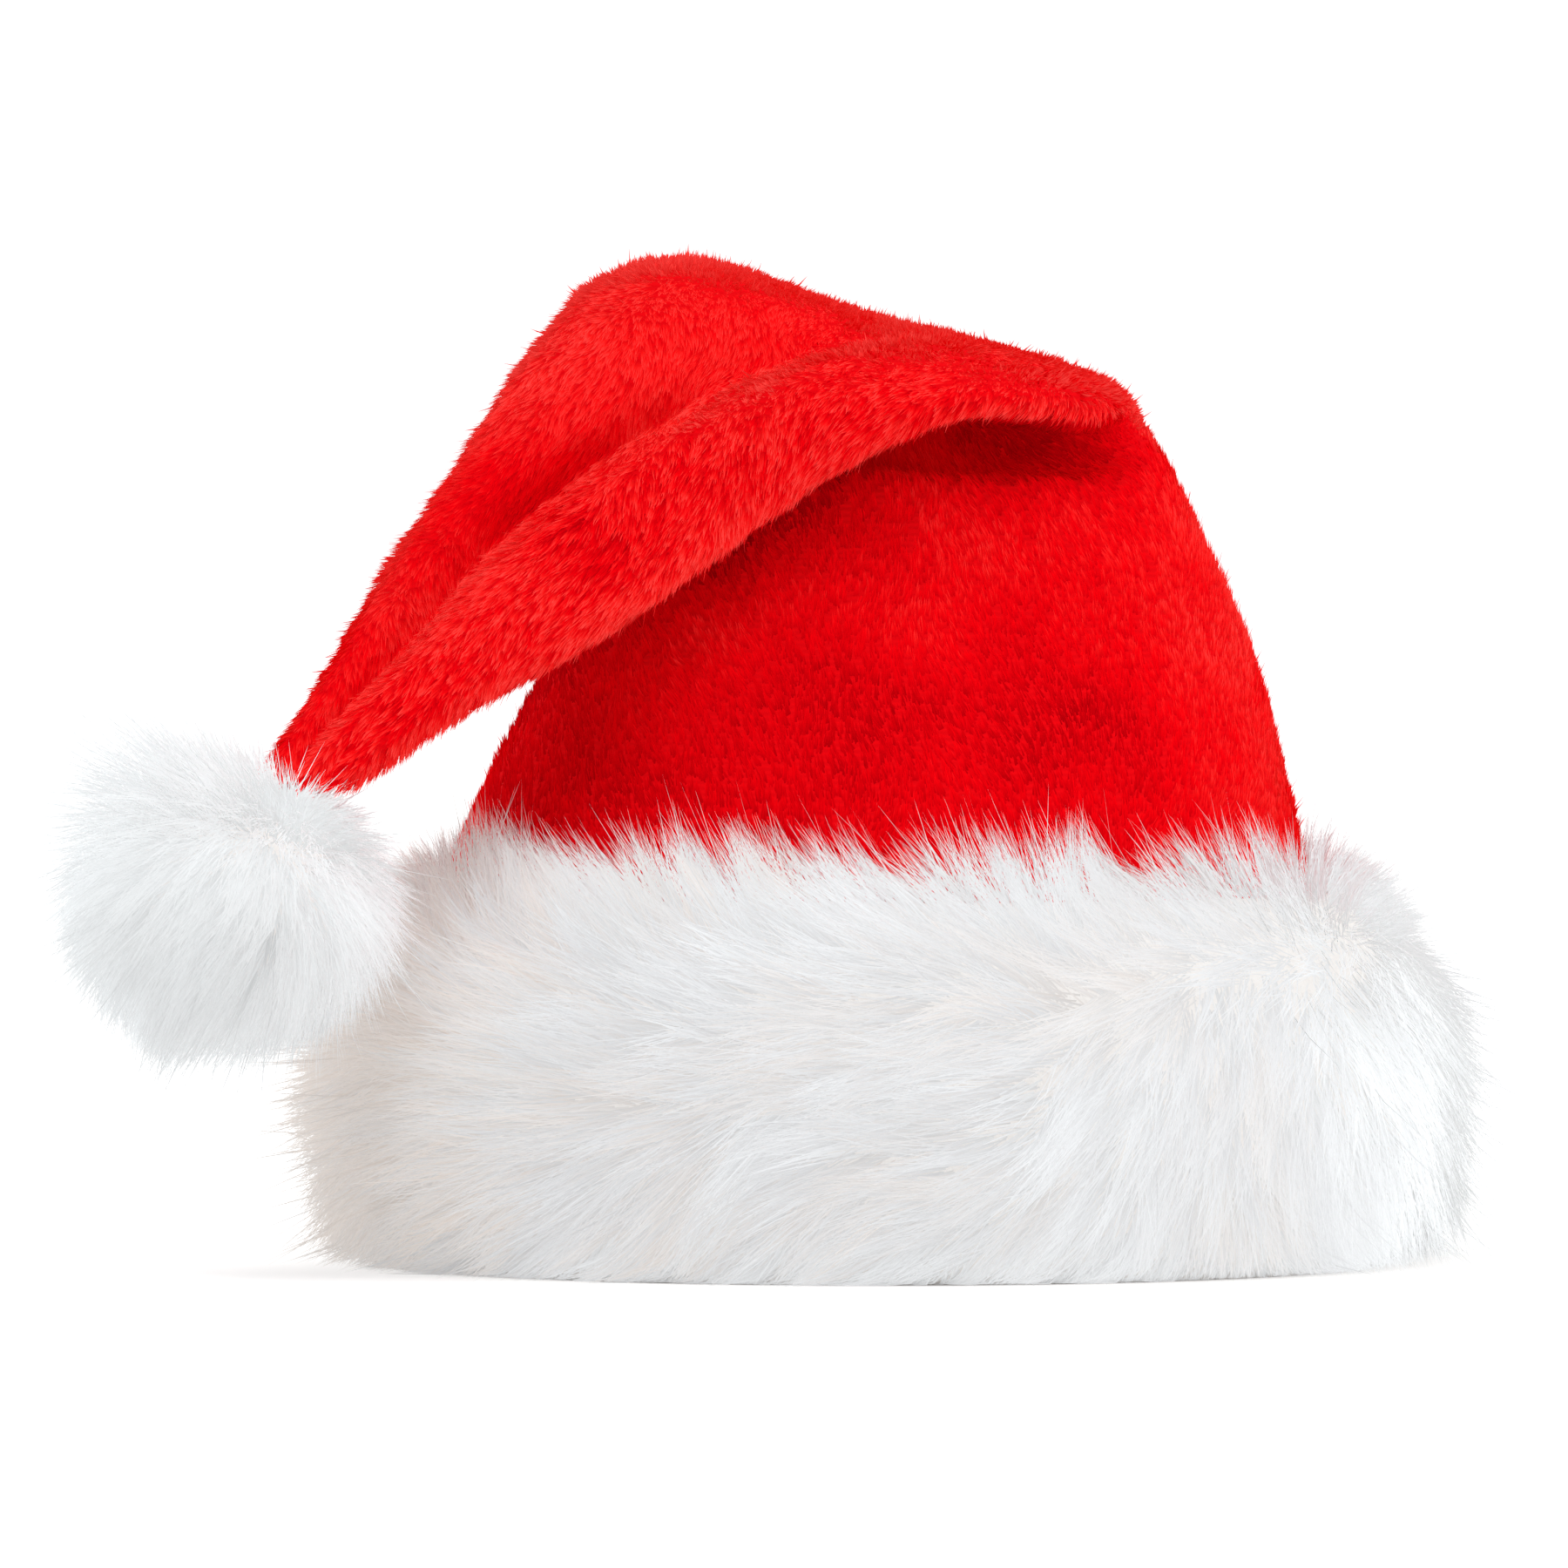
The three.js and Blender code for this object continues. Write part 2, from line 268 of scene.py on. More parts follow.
# Crown pile: the plush's red polyester fibres, cut 3.6 to 4.4 mm long and gathered in small tufts. The nap
# runs from the hat's foot over the fold to the tail's end, so it points up on the body and down on the tail.
# Real fibres are too fine to show, so these are drawn many times as thick.
PILE_PARTS = (
    # name, first and last section, length, leaves the cloth at, drawn together, seed
    ("crown_pile_body", 0, 6, 3.6, 34, 0.3, 11),
    ("crown_pile_tail", 6, 15, 4.4, 38, 0.45, 12),
)
PILE_TUFTS = 19400
PILE_TUFT = 5
PILE_SPREAD = 1.0
PILE_ENDS_AT = 10
PILE_STRAY = 0.12
PILE_LOOSE = 0.03
PILE_HALF_WIDTH = 0.3
PILE_POINTS = 2
PILE_UNEVENNESS = 0.08
NAP_TURN = 20
NAP_WAVES = ((16, 70), (10, 24), (9, 8))
NAP_STAND_WAVES = ((8, 12), (8, 45))
FUR_COVERS_BELOW = 82

# Tones of the pile, from dark at 0 to pale at 1, which paint light and shade onto the fibres.
# Each pair of rows gives places and what holds there: the body's painted highlight by how far it faces
# right and painted light by height, the tail's painted shade and highlight by the way from its crease and
# painted light by ring, and the under wall's painted light by x. There is also a painted shadow under the
# tail's edge and painted shade in the fold's hollow; only the clouds differ at random.
BODY_TONE = 0.37
EDGE_HIGHLIGHT_TONE = ((0.35, 0.9), (0, 0.3))
HEIGHT_LIGHT_TONE = ((130, 165, 188), (-0.03, 0.08, 0.12))
CLOUDS = ((0.08, 60), (0.07, 24))
CLOUDS_END = ((185, 200), (1, 0.3))
TAIL_SHADE = ((-20, 5), (0.35, 0))
TAIL_SHADE_DEPTH = 9
HANGING_TILT = 170
HOLLOW_SHADE_AT = np.array([30.0, 189.0])
HOLLOW_SHADE_HALF_SIZE = np.array([17.5, 8.2])
HOLLOW_SHADE_DEPTH = 1.6
HOLLOW_SHADE_FADE = 1.2
TAIL_SHADE_AND_LIGHT = (
    (-0.9, -0.55, -0.2, -0.04, 0.03, 0.12, 0.4, 1, 1.35),
    (0.85, 0.58, 0.54, 0.46, 1, 0.76, 0.58, 0.58, 0.85),
)
FOLD_LIGHT_TONE = ((22, 36, 41, 48, 62, 75), (0, 0.42, 0.32, 0.12, 0.08, 0))
FOLD_FROM = (28, 36)
FOLD_EARLIER_BEHIND = 14
UNDER_LIGHT_TONE = ((5, 14), (0.52, 0.4))
BODY_CONTRAST = 0.35
UNDER_CONTRAST = 0.35
TAIL_CONTRAST = ((-0.9, -0.5, -0.1, 0, 1), (0.6, 0.35, 0.4, 0.95, 0.95))

# How single hairs differ: shares of their length and width, degrees of roll, how far loose ones lift, and
# shares of a tuft's and a hair's own tone. Then their place on the colour map, where its middle colour
# lies, and how much the soft surface and the hair's own face count in how it is lit.
HAIR_LENGTHS = (0.65, 1.1)
HAIR_WIDTHS = (0.7, 1.3)
HAIR_THICKNESS = 0.03
HAIR_ROLL = 35
LOOSE_LIFT = (0.3, 1.0)
TUFT_MIX = 0.6
HAIR_MIX = 0.4
CHART_MARGIN = 0.03
CHART_HALF_WIDTH = 0.02
UNDERSIDE_FROM = 0.7
MIDDLE_AT = 0.45
HAIR_TILT = 0.4
SURFACE_SHARE = 0.8
FACE_SHARE = 0.35
UNDERSIDE_SHARE = 0.75

# Each face is split this often both ways before places are spread over it
CELL_SPLIT = 3


def scatter(rings, weight, count, draw):
    """Places spread evenly over a grid of rings.

    Gives the places, the directions outward, along and rightward there, and where they lie on the grid.
    """
    a, d = rings[:-1], rings[1:]
    b, c = np.roll(a, -1, 1), np.roll(d, -1, 1)
    share = np.linalg.norm(np.cross(c - a, d - b), axis=-1) * weight
    total = np.cumsum(np.repeat(share.ravel(), CELL_SPLIT**2))
    picked = np.searchsorted(total, (np.arange(count) + draw.random(count)) / count * total[-1])
    cell, part = np.divmod(np.minimum(picked, total.size - 1), CELL_SPLIT**2)
    a, b, c, d = (corner.reshape(-1, 3)[cell] for corner in (a, b, c, d))
    u = ((part % CELL_SPLIT + draw.random(count)) / CELL_SPLIT)[:, None]
    v = ((part // CELL_SPLIT + draw.random(count)) / CELL_SPLIT)[:, None]
    place = (a * (1 - u) + b * u) * (1 - v) + (d * (1 - u) + c * u) * v
    round_them = (b - a) * (1 - v) + (c - d) * v
    along = unit((d - a) * (1 - u) + (c - b) * u)
    normal = unit(np.cross(round_them, along))
    grid = np.stack(np.divmod(cell, rings.shape[1]), -1) + np.hstack([v, u])
    return place, normal, along, np.cross(along, normal), grid


def turned(direction, other, degrees):
    """A direction turned by these angles towards another one that is square to it."""
    angle = np.radians(degrees)
    angle = angle[:, None] if np.ndim(angle) else angle
    return direction * np.cos(angle) + other * np.sin(angle)


def hair_mesh(name, roots, normals, leaving, ending, lengths, material, draw, *,
              tuft, spread, clump, stray, loose, half_width, points, contrast, tone, unevenness, floor=None):
    """Thin tapered hairs in tufts. A tuft's hairs stand round its root and draw together at their tips."""
    parent = np.repeat(np.arange(len(roots)), tuft)
    count = len(parent)
    normal = normals[parent]
    side = unit(np.cross(leaving, normals))[parent]
    ahead = np.cross(normal, side)
    angle = draw.uniform(0, 2 * math.pi, (count, 1))
    offset = (side * np.cos(angle) + ahead * np.sin(angle)) * spread * np.sqrt(draw.random((count, 1)))
    length = (lengths[parent] * draw.uniform(*HAIR_LENGTHS, count))[:, None, None]
    lift = draw.uniform(*LOOSE_LIFT, (count, 1)) * (draw.random((count, 1)) < loose)
    drift = draw.normal(size=(count, 3)) * stray
    tip_way = ending[parent] + normal * lift + drift
    t = np.linspace(0, 1, points)[None, :, None]
    spine = (
        roots[parent][:, None]
        + offset[:, None] * (1 - clump * t)
        + leaving[parent][:, None] * length * (t - t**2 / 2)
        + tip_way[:, None] * length * t**2 / 2
    )
    if floor is not None:
        spine[..., 2] = np.maximum(spine[..., 2], floor)

    # A strip along each hair's spine for its upper side, and one just below it for its underside
    forward = unit(np.gradient(spine, axis=1))
    across = unit(np.cross(forward, normal[:, None]))
    roll = np.radians(draw.uniform(-HAIR_ROLL, HAIR_ROLL, (count, 1, 1)))
    across = across * np.cos(roll) + np.cross(across, forward) * np.sin(roll)
    facing = np.cross(across, forward)
    width = np.broadcast_to(half_width, len(roots))[parent] * draw.uniform(*HAIR_WIDTHS, count)
    across = across * width[:, None, None] * np.sqrt(1 - t)
    edges = np.stack([spine - across, spine + across], 2)[:, :-1].reshape(count, -1, 3)
    front = np.concatenate([edges, spine[:, -1:]], 1)
    facing = np.concatenate([np.repeat(facing[:, :-1], 2, 1), facing[:, -1:]], 1)
    vertices = np.concatenate([front, front - facing * HAIR_THICKNESS], 1)
    per_side = front.shape[1]
    strip = []
    for left in range(0, per_side - 3, 2):
        strip += [[left, left + 1, left + 3], [left, left + 3, left + 2]]
    strip = np.array(strip + [[per_side - 3, per_side - 2, per_side - 1]])
    strip = np.concatenate([strip, strip[:, ::-1] + per_side])
    faces = (strip[None] + np.arange(count)[:, None, None] * 2 * per_side).reshape(-1, 3)
    piece = mesh_piece(name, vertices.reshape(-1, 3), [faces], material)

    # Each hair's tone, and how far along it a point lies, as a map for its colour and one for its surface.
    # The underside takes the colour of the tips, as painted light for the light that comes through a hair.
    mix = TUFT_MIX * (draw.random(len(roots)) - 0.5)[parent] + HAIR_MIX * (draw.random(count) - 0.5)
    tone = np.clip(tone[parent] + np.broadcast_to(contrast, len(roots))[parent] * mix, 0, 1)
    aside = np.array(([-CHART_HALF_WIDTH, CHART_HALF_WIDTH] * (points - 1) + [0]) * 2)
    tone = CHART_MARGIN + (1 - 2 * CHART_MARGIN) * tone[:, None] + aside
    reach = np.append(np.repeat(np.linspace(0, 1, points)[:-1], 2), 1)
    reach = np.concatenate([reach, UNDERSIDE_FROM + (1 - UNDERSIDE_FROM) * reach])
    chart = np.stack([tone, np.broadcast_to(reach, tone.shape)], -1).reshape(-1, 2)
    for map_name in ("hair", "OFBake"):
        layer = piece.data.uv_layers.new(name=map_name)
        layer.uv.foreach_set("vector", chart[faces.ravel()].astype(np.float32).ravel())

    # Hairs are lit mostly as the soft surface that they make up together. They are fine enough to pass light
    # on to each other, so only the cloth or wool below them throws a shadow.
    tilt = draw.normal(size=(len(roots), 3))[parent] + draw.normal(size=(count, 3)) * HAIR_TILT
    soft = (normal * SURFACE_SHARE + tilt * unevenness)[:, None]
    lit = unit(np.concatenate([soft + facing * FACE_SHARE, soft * UNDERSIDE_SHARE - facing], 1))
    piece.data.normals_split_custom_set_from_vertices(lit.reshape(-1, 3).astype(np.float32))
    piece.visible_shadow = False
    piece.visible_diffuse = False
    return piece


def hair_material(name, kinds, roughness, gloss, sheen, sheen_colour):
    """Fibres coloured at root, middle and tip, each one somewhere between the first kind and the last."""
    material, tree = new_material(name)
    chart = add_node(tree, "ShaderNodeUVMap", uv_map="hair")
    part = add_node(tree, "ShaderNodeSeparateXYZ", {"Vector": chart.outputs["UV"]})
    colour = None
    for step, (root, middle, tip) in enumerate(kinds):
        along = add_node(tree, "ShaderNodeValToRGB", {"Fac": part.outputs["Y"]})
        along.color_ramp.elements[0].color = linear(root)
        along.color_ramp.elements[1].color = linear(tip)
        along.color_ramp.elements.new(MIDDLE_AT).color = linear(middle)
        if step == 0:
            colour = along.outputs["Color"]
            continue
        share = add_node(
            tree, "ShaderNodeMath",
            {0: part.outputs["X"], 1: len(kinds) - 1, 2: 1 - step},
            operation="MULTIPLY_ADD", use_clamp=True,
        )
        mixed = add_node(
            tree, "ShaderNodeMix",
            {"Factor": share.outputs["Value"], "A": colour, "B": along.outputs["Color"]},
            data_type="RGBA",
        )
        colour = mixed.outputs["Result"]
    fibre = add_node(
        tree, "ShaderNodeBsdfPrincipled",
        {
            "Base Color": colour,
            "Roughness": roughness,
            "Specular IOR Level": gloss,
            "Sheen Weight": sheen,
            "Sheen Roughness": 0.4,
            "Sheen Tint": linear(sheen_colour),
        },
    )
    add_node(tree, "ShaderNodeOutputMaterial", {"Surface": fibre.outputs["BSDF"]})
    return material


# Polyester plush fibre, dyed red. The darker roots and the deep kind are painted shade, between the tufts
# and in hollows, and the pale kind is painted light, where tips catch the light as pale red
plush_fibre = hair_material(
    "red_polyester_plush_fibre",
    kinds=(
        ("#8A0006", "#940006", "#A00007"),
        ("#BC0009", "#D6010A", "#EA030B"),
        ("#C6070E", "#E61D19", "#F8504A"),
    ),
    roughness=0.8, gloss=0.0, sheen=0.04, sheen_colour="#FF4A44",
)

shown = (outside[:-1, :, 2] > FUR_COVERS_BELOW).astype(float)
hanging = CONE_SECTIONS[CONE_SECTIONS[:, TILT_COLUMN] > HANGING_TILT][::-1]
for name, first, last, length, leaves_at, clump, seed in PILE_PARTS:
    draw = np.random.default_rng(seed)
    part = slice(first * CONE_STEPS, last * CONE_STEPS)
    part_rings = outside[part.start:part.stop + 1]
    place, normal, along, rightward, grid = scatter(part_rings, shown[part], PILE_TUFTS, draw)
    nap = turned(along, -rightward, NAP_TURN + ripples(place, NAP_WAVES, seed=40))
    stand = ripples(place, NAP_STAND_WAVES, seed=50)
    x, y, z = place.T
    ring = grid[:, 0] + part.start
    around = grid[:, 1] * 2 * math.pi / CONE_POINTS

    # The body is paler at its right edge and higher up as painted light, with a painted shadow under
    # the tail and painted shade in the fold's hollow
    from_hollow = ((place[:, [0, 2]] - HOLLOW_SHADE_AT) / HOLLOW_SHADE_HALF_SIZE) ** 2
    hollow_shade = np.minimum(HOLLOW_SHADE_DEPTH * np.exp(-HOLLOW_SHADE_FADE * from_hollow.sum(-1)), 1) * (y < 0)
    tail_edge = np.interp(x, hanging[:, 0], hanging[:, 2], right=np.inf)
    below_edge = np.maximum(tail_edge - z, 0) / TAIL_SHADE_DEPTH
    shade = np.interp(x, *TAIL_SHADE) * np.exp(-(below_edge**2)) * (y < 0)
    tone = BODY_TONE + np.interp(normal[:, 0], *EDGE_HIGHLIGHT_TONE) + np.interp(z, *HEIGHT_LIGHT_TONE)
    tone = (tone - shade) * (1 - hollow_shade)

    # The tail has painted shade along its crease and a painted highlight on the roll beside it and at its
    # edges, the fold's top is palest as painted light, and the wall under the fold is lighter towards its
    # left as painted light
    from_crease = np.cos(around) - np.interp(ring, np.arange(len(sections)), sections[:, CREASE_AT_COLUMN])
    upper = np.interp(from_crease, *TAIL_SHADE_AND_LIGHT) + np.interp(ring, *FOLD_LIGHT_TONE)
    under = np.interp(x, *UNDER_LIGHT_TONE) * (1 - hollow_shade)
    tail_tone = np.where(around < math.pi, upper, under)
    tail_contrast = np.where(around < math.pi, np.interp(from_crease, *TAIL_CONTRAST), UNDER_CONTRAST)
    folded = np.interp(ring + FOLD_EARLIER_BEHIND * np.maximum(np.sin(around), 0), FOLD_FROM, (0, 1))
    tone = tone + (tail_tone - tone) * folded
    tone = tone + ripples(place, CLOUDS, seed=52) * np.interp(z, *CLOUDS_END)
    pile = hair_mesh(
        name, place, normal,
        turned(nap, normal, leaves_at + stand), turned(nap, normal, PILE_ENDS_AT + stand),
        np.full(PILE_TUFTS, length), plush_fibre, draw,
        tuft=PILE_TUFT, spread=PILE_SPREAD, clump=clump, stray=PILE_STRAY, loose=PILE_LOOSE,
        half_width=PILE_HALF_WIDTH, points=PILE_POINTS, unevenness=PILE_UNEVENNESS,
        contrast=BODY_CONTRAST + (tail_contrast - BODY_CONTRAST) * folded, tone=tone,
    )
    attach(pile, "root")


# Brim: a band of long white acrylic fur, folded over the crown's foot and sewn round the head opening.
# Its underfur is a soft roll with a flat underside, and the long hairs are combed round the band.
HEAD_HALF_WIDTH = 101.5
HEAD_HALF_DEPTH = 84.5
BRIM_SECTION = np.array([
    # out from the head opening, height
    [0, 0], [15, 0], [23, 8], [28, 24], [30, 44], [27, 62], [20, 78], [10, 87], [3, 90], [0, 87],
], float)
BRIM_POINTS = 180
BRIM_STEPS = 3
UNDERFUR_SHARE = np.array([0.74, 0.95])
UPWARD = np.array([0, 0, 1.0])


def brim_rings(section):
    """Rings of points round the head opening, one for each point of the band's section."""
    angle = np.linspace(0, 2 * math.pi, BRIM_POINTS, endpoint=False)
    opening = np.stack([HEAD_HALF_WIDTH * np.cos(angle), HEAD_HALF_DEPTH * np.sin(angle), 0 * angle], -1)
    away = unit(np.stack([np.cos(angle) / HEAD_HALF_WIDTH, np.sin(angle) / HEAD_HALF_DEPTH, 0 * angle], -1))
    return opening[None] + away[None] * section[:, 0, None, None] + UPWARD * section[:, 1, None, None]


# Acrylic underfur: matt, fine white wool, coloured grey as painted shade for where it lies between the
# long hairs
UNDERFUR_DIM = "#CCC8C5"
UNDERFUR_LIGHT = "#D8D6D4"
UNDERFUR_GRAIN = 2.5
UNDERFUR_DEPTH = 1.0
underfur, tree = new_material("white_acrylic_underfur")
position = add_node(tree, "ShaderNodeTexCoord")
wool = add_node(
    tree, "ShaderNodeTexNoise",
    {
        "Vector": position.outputs["Object"],
        "Scale": 1 / (UNDERFUR_GRAIN * MM),
        "Detail": 4.0,
        "Roughness": 0.6,
    },
)
tint = add_node(
    tree, "ShaderNodeMix",
    {"Factor": wool.outputs["Fac"], "A": linear(UNDERFUR_DIM), "B": linear(UNDERFUR_LIGHT)},
    data_type="RGBA",
)
fluff = add_node(
    tree, "ShaderNodeBump",
    {"Height": wool.outputs["Fac"], "Strength": 0.6, "Distance": UNDERFUR_DEPTH * MM},
)
wool_surface = add_node(
    tree, "ShaderNodeBsdfPrincipled",
    {
        "Base Color": tint.outputs["Result"],
        "Roughness": 0.95,
        "Specular IOR Level": 0.1,
        "Normal": fluff.outputs["Normal"],
    },
)
add_node(tree, "ShaderNodeOutputMaterial", {"Surface": wool_surface.outputs["BSDF"]})

outline = BRIM_SECTION * UNDERFUR_SHARE
fur_side = eased(outline[1:], BRIM_STEPS)
fur_side[:, 1] = np.maximum(fur_side[:, 1], 0)
roll_rings = brim_rings(np.vstack([outline[:1], fur_side]))
faces = ring_faces(len(roll_rings) + 1, BRIM_POINTS) % (len(roll_rings) * BRIM_POINTS)
brim_underfur = mesh_piece("brim_underfur", roll_rings.reshape(-1, 3), [faces], underfur)
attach(brim_underfur, "root")
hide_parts("brim")

# Long acrylic hair, drawn thicker than real hair so that it shows: near white with a faint silky gleam, and
# greyer at the root as painted shade between the hairs. The kinds go from cream, a warm painted shade at
# the band's left end, over neutral to a clear white, painted light at its right end.
long_hair = hair_material(
    "white_acrylic_long_hair",
    kinds=(
        ("#CDC2BA", "#D6CCC4", "#E0D8D2"),
        ("#C0C1C2", "#C7C8CA", "#D2D4D6"),
        ("#D6D8D9", "#E2E5E7", "#EEF1F3"),
    ),
    roughness=0.5, gloss=0.2, sheen=0.1, sheen_colour="#FFFFFF",
)

# How the band is combed, as degrees up from level to the left when seen from outside: up over the crown at
# its top edge, level in the middle, down to the left near the floor, and straight down and outwards at the
# right end. The stations go round from the right end over the back to the left end and the front.
COMB_STATIONS = (0, 45, 90, 135, 180, 210, 236, 270, 289, 303, 316, 340, 360)
COMB_HEIGHTS = (0, 15, 35, 58, 67, 77, 84)
COMB_ANGLES = (
    (-90, -60, -45, -45, -65, -50, -48, -45, -48, -62, -88, -92, -90),
    (-80, -45, -30, -30, -45, -35, -40, -32, -36, -55, -85, -88, -80),
    (-70, -20, -10, -10, -20, -12, -14, -10, -20, -48, -80, -85, -70),
    (-60, -5, 0, 0, 5, 0, 2, 0, -12, -40, -72, -75, -60),
    (-50, 25, 25, 25, 40, 30, 22, 20, 14, -10, -55, -65, -50),
    (0, 70, 60, 60, 85, 76, 56, 48, 46, 44, 30, 15, 0),
    (85, 76, 68, 68, 95, 86, 60, 54, 54, 54, 52, 58, 85),
)
COMB_WAVES = ((14, 55), (12, 20), (8, 9))
FUR_LEAVES_AT = (44, 38, 36, 36, 42, 36, 34, 34, 34, 36, 40, 42, 44)
FUR_ENDS_AT = (14, 8, 6, 6, 12, 8, 6, 6, 6, 6, 8, 12, 14)
FUR_STAND_WAVES = ((6, 30),)
FUR_PARTS = (
    # name, share of the rings where it starts and ends, seed
    ("brim_fur_back", 0, 0.5, 21),
    ("brim_fur_front", 0.5, 1, 22),
)
FUR_TUFTS = 2050
FUR_TUFT = 16
FUR_SPREAD = 4.2
FUR_CLUMP = 0.7
FUR_STRAY = 0.15
FUR_LOOSE = 0.06
FUR_HALF_WIDTH = 0.2
FUR_POINTS = 3
FUR_UNEVENNESS = 0.11

# The hairs along the top edge are denser, finer and shorter and lie flatter, and lean outwards at the
# band's two ends. Those near the floor are tucked in and bend along it.
EDGE_HEIGHTS = (66, 78)
EDGE_DENSITY = 1.5
EDGE_FLATTER = 0.6
EDGE_FINER = 0.35
FUR_LENGTHS = (27, 21)
ENDS_FROM = (80, 100)
ENDS_AROUND = 0.3
ENDS_LEAN = 0.6
ENDS_SHORTER = 0.4
TUCKED_BELOW = ((0, 26), (0.3, 1))
FLOOR_CLEARANCE = 0.4
FLOOR_OVERHANG = 3
LEAST_DROP = 0.01

# Tones of the long hair from the left end to the right, and near the floor, from cream at 0 to white at 1:
# warm painted shade at the left end by the pompom, painted light at the right end, and paler near the
# floor as painted light; only the clouds differ at random
FUR_SHADE_AND_LIGHT = ((-125, -95, -60, 40, 85, 115), (0, 0.16, 0.46, 0.51, 0.46, 0.88))
FUR_CONTRAST = ((0, 80, 115), (0.5, 0.22, 0.1))
LOW_LIGHT_TONE = ((0, 16), (0.35, 0))
FUR_CLOUDS = ((0.07, 30),)

fur_rings = roll_rings[1:]
for name, first, last, seed in FUR_PARTS:
    draw = np.random.default_rng(seed)
    columns = slice(int(first * BRIM_POINTS), int(last * BRIM_POINTS))
    weight = np.zeros(fur_rings.shape[:2])[:-1]
    weight[:, columns] = np.interp(fur_rings[:-1, columns, 2], EDGE_HEIGHTS, (1, EDGE_DENSITY))
    place, normal, *_ = scatter(fur_rings, weight, FUR_TUFTS, draw)
    x, y, height = place.T
    away = unit(place * np.array([HEAD_HALF_WIDTH**-2, HEAD_HALF_DEPTH**-2, 0]))
    leftward = np.cross(away, UPWARD)
    station = np.degrees(np.arctan2(y, x)) % 360
    edge = np.clip((height - EDGE_HEIGHTS[0]) / (EDGE_HEIGHTS[1] - EDGE_HEIGHTS[0]), 0, 1)
    at_end = np.interp(np.abs(x) - ENDS_AROUND * np.abs(y), ENDS_FROM, (0, 1)) * edge

    # The comb's angle between the table's heights and stations, and the way that the hairs lie by it
    step = np.interp(height, COMB_HEIGHTS, np.arange(len(COMB_HEIGHTS)))
    row = np.minimum(step.astype(int), len(COMB_HEIGHTS) - 2)
    by_row = np.array([np.interp(station, COMB_STATIONS, angles) for angles in COMB_ANGLES])
    each = np.arange(FUR_TUFTS)
    comb = by_row[row, each] * (1 + row - step) + by_row[row + 1, each] * (step - row)
    comb = comb + ripples(place, COMB_WAVES, seed=60)
    lie = unit(turned(leftward, UPWARD, comb))
    lie = unit(lie + (away - lie) * ENDS_LEAN * at_end[:, None])
    lie = unit(lie - normal * ((lie * normal).sum(-1) * (1 - edge))[:, None])
    stand = np.interp(station, COMB_STATIONS, FUR_LEAVES_AT) + ripples(place, FUR_STAND_WAVES, seed=70)
    stand = stand * np.interp(height, *TUCKED_BELOW)
    leaving = unit(turned(lie, normal, stand * (1 - EDGE_FLATTER * edge)))
    ending = unit(turned(lie, normal, np.interp(station, COMB_STATIONS, FUR_ENDS_AT) * (1 - edge)))
    drop = np.maximum(-(leaving + ending)[:, 2] / 2, LEAST_DROP)
    lengths = np.minimum(
        (FUR_LENGTHS[0] + (FUR_LENGTHS[1] - FUR_LENGTHS[0]) * edge) * (1 - ENDS_SHORTER * at_end),
        (height + FLOOR_OVERHANG) / drop,
    )
    # Painted shade at the left end, painted light at the right end and near the floor
    tone = np.interp(x, *FUR_SHADE_AND_LIGHT) + np.interp(height, *LOW_LIGHT_TONE) + ripples(place, FUR_CLOUDS, seed=71)
    fur = hair_mesh(
        name, place, normal, leaving, ending, lengths, long_hair, draw,
        tuft=FUR_TUFT, spread=FUR_SPREAD, clump=FUR_CLUMP, stray=FUR_STRAY, loose=FUR_LOOSE,
        half_width=FUR_HALF_WIDTH * (1 - EDGE_FINER * edge), points=FUR_POINTS, unevenness=FUR_UNEVENNESS,
        contrast=np.interp(x, *FUR_CONTRAST), tone=tone, floor=FLOOR_CLEARANCE,
    )
    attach(fur, "root")


# Pompom: a stuffed ball of the same long fur, gathered round the cone's end and sewn shut on it. Its hair
# parts where the tail enters at the top, falls to all sides and hangs down.
POMPOM_CENTER = np.array([-147.0, -77.0, 85.0])
POMPOM_CORE = np.array([28.0, 26.0, 23.0])
POMPOM_RINGS = 40
POMPOM_POINTS = 80
POMPOM_TUFTS = 1270
POMPOM_TUFT = 17
POMPOM_SPREAD = 3.2
POMPOM_CLUMP = 0.6
POMPOM_STRAY = 0.16
POMPOM_LOOSE = 0.1
POMPOM_HAIR = 20
POMPOM_LEAVES_AT = 46
POMPOM_ENDS_AT = 16
POMPOM_DROOP = 0.25
POMPOM_SWIRLS = ((0.4, 26),)
NOT_ZERO = 1e-6

# Round the parting the hair is denser, shorter and more upright, and wisps stand out at the upper left
WHORL = unit(np.array([0.42, -0.12, 0.85]))
WHORL_FOCUS = 5
WHORL_STANDS = 34
WHORL_DENSER = 1.2
WHORL_SHORTER = 0.35
WISPS_AT = unit(np.array([-0.45, -0.1, 0.88]))
WISPS_FOCUS = 8
WISPS_STAND = 40
WISPS_LONGER = 0.7

# Tones of the pompom's hair, from grey at 0 to white at 1: greyer in front as painted shade, and white at
# the sides and behind as painted light, where light comes through the thin fringe
POMPOM_TONE = 1.0
POMPOM_LIGHT_LEAN = np.array([-0.1, 0.95, 0.08])
POMPOM_CLOUDS = ((0.1, 22),)
POMPOM_CONTRAST = 0.4

